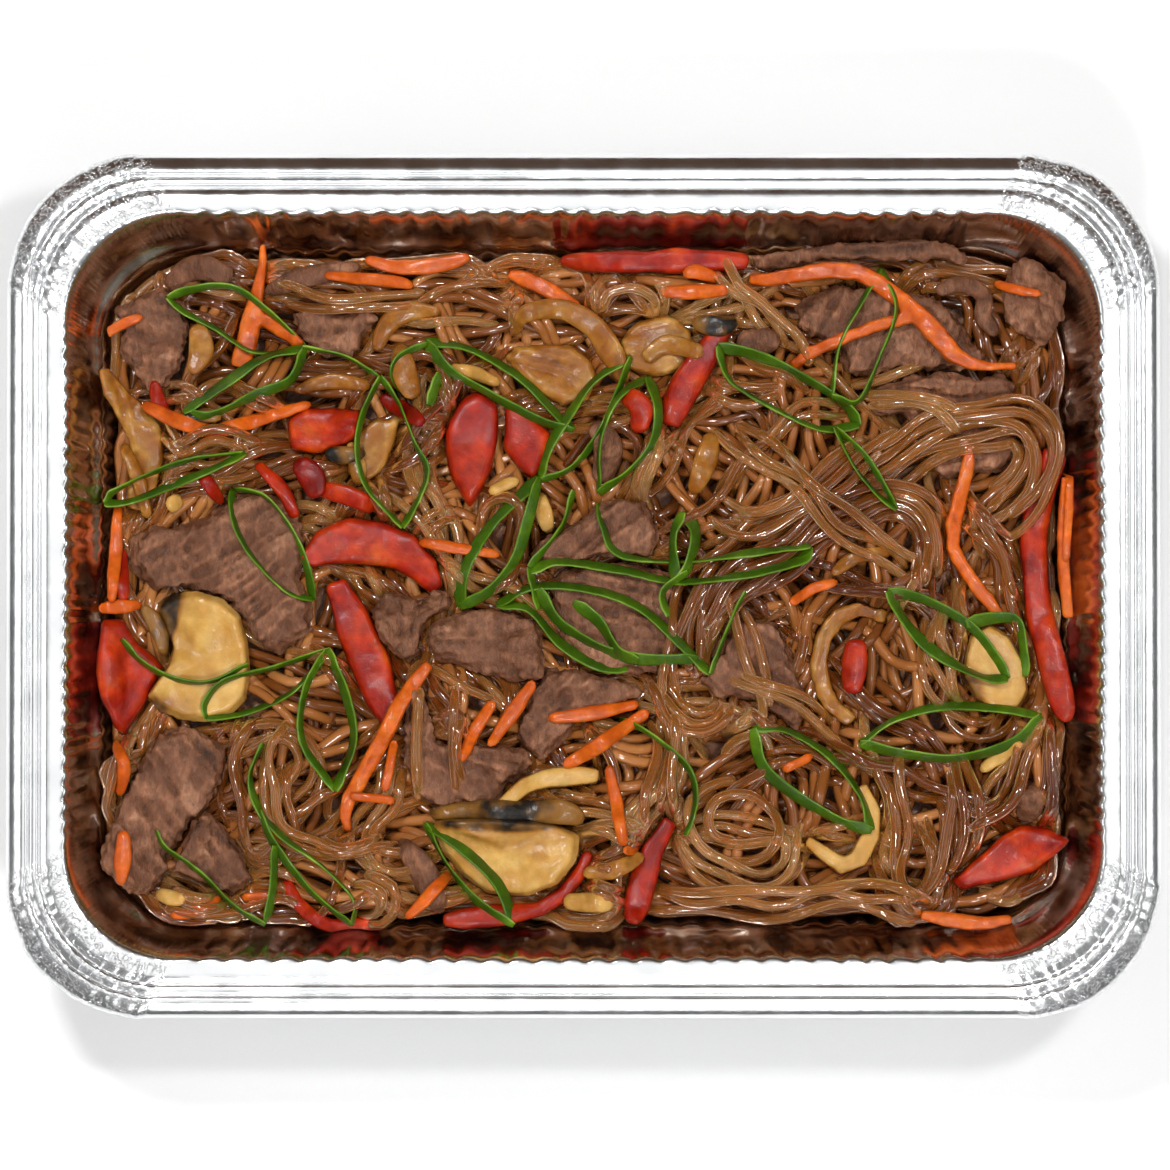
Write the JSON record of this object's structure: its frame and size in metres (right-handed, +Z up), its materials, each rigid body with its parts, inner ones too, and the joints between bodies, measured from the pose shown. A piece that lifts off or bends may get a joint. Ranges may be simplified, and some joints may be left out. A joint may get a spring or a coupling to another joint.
{
  "type": "noodle takeaway tray",
  "caption": "Open rectangular foil tray with a rolled rim, filled with glass noodles, beef slices and vegetables topped with scallion loops.",
  "frame": {"origin": "on the table under the middle of the tray", "axes": "+X along the tray's long side, +Y along its short side, +Z up out of the open top"},
  "size_m": [0.231, 0.173, 0.042],
  "materials": {
    "foil": "bright pressed aluminium foil, fluted walls and a rolled rim",
    "noodle": "translucent brown glass noodles, wet with sauce",
    "beef": "cooked beef slices with a fibrous grain",
    "pepper": "cooked red sweet pepper, glossy skin",
    "carrot": "cooked carrot shreds",
    "onion": "soft fried onion, translucent amber",
    "mushroom": "cooked mushroom slices, cream with dark gills",
    "scallion": "fresh green scallion loops"
  },
  "bodies": {
    "root": {"beef_back_large": "beef", "beef_back_strip": "beef", "beef_centre_left": "beef", "beef_centre_slab": "beef", "beef_centre_top": "beef", "beef_centre_under": "beef", "beef_corner": "beef", "beef_folded": "beef", "beef_left_large": "beef", "beef_lower_left": "beef", "beef_lower_left_small": "beef", "beef_lower_middle": "beef", "beef_middle": "beef", "beef_right_back": "beef", "beef_right_corner": "beef", "beef_right_middle": "beef", "carrot_back_curve": "carrot", "carrot_back_long": "carrot", "carrot_long": "carrot", "carrot_lower_right": "carrot", "carrot_right_diagonal": "carrot", "carrot_right_edge": "carrot", "carrot_upright": "carrot", "foil_tray": "foil", "mushroom_curly": "mushroom", "mushroom_left": "mushroom", "mushroom_lower": "mushroom", "mushroom_right": "mushroom", "mushroom_strip": "mushroom", "noodles": "noodle", "onion_back": "onion", "onion_large": "onion", "onion_left": "onion", "onion_middle": "onion", "onion_ring": "onion", "pepper_arch": "pepper", "pepper_back_strip": "pepper", "pepper_block": "pepper", "pepper_corner": "pepper", "pepper_crescent": "pepper", "pepper_left": "pepper", "pepper_leg": "pepper", "pepper_lower": "pepper", "pepper_orange": "pepper", "pepper_pair_left": "pepper", "pepper_pair_right": "pepper", "pepper_right_strip": "pepper", "scallion_back": "scallion", "scallion_centre": "scallion", "scallion_corner": "scallion", "scallion_left": "scallion", "scallion_left_edge": "scallion", "scallion_lower": "scallion", "scallion_lower_left": "scallion", "scallion_lower_right": "scallion", "scallion_mushroom": "scallion", "scallion_pair": "scallion", "scallion_right": "scallion", "scallion_right_back": "scallion", "scallion_right_lower": "scallion"}
  },
  "joints": []
}
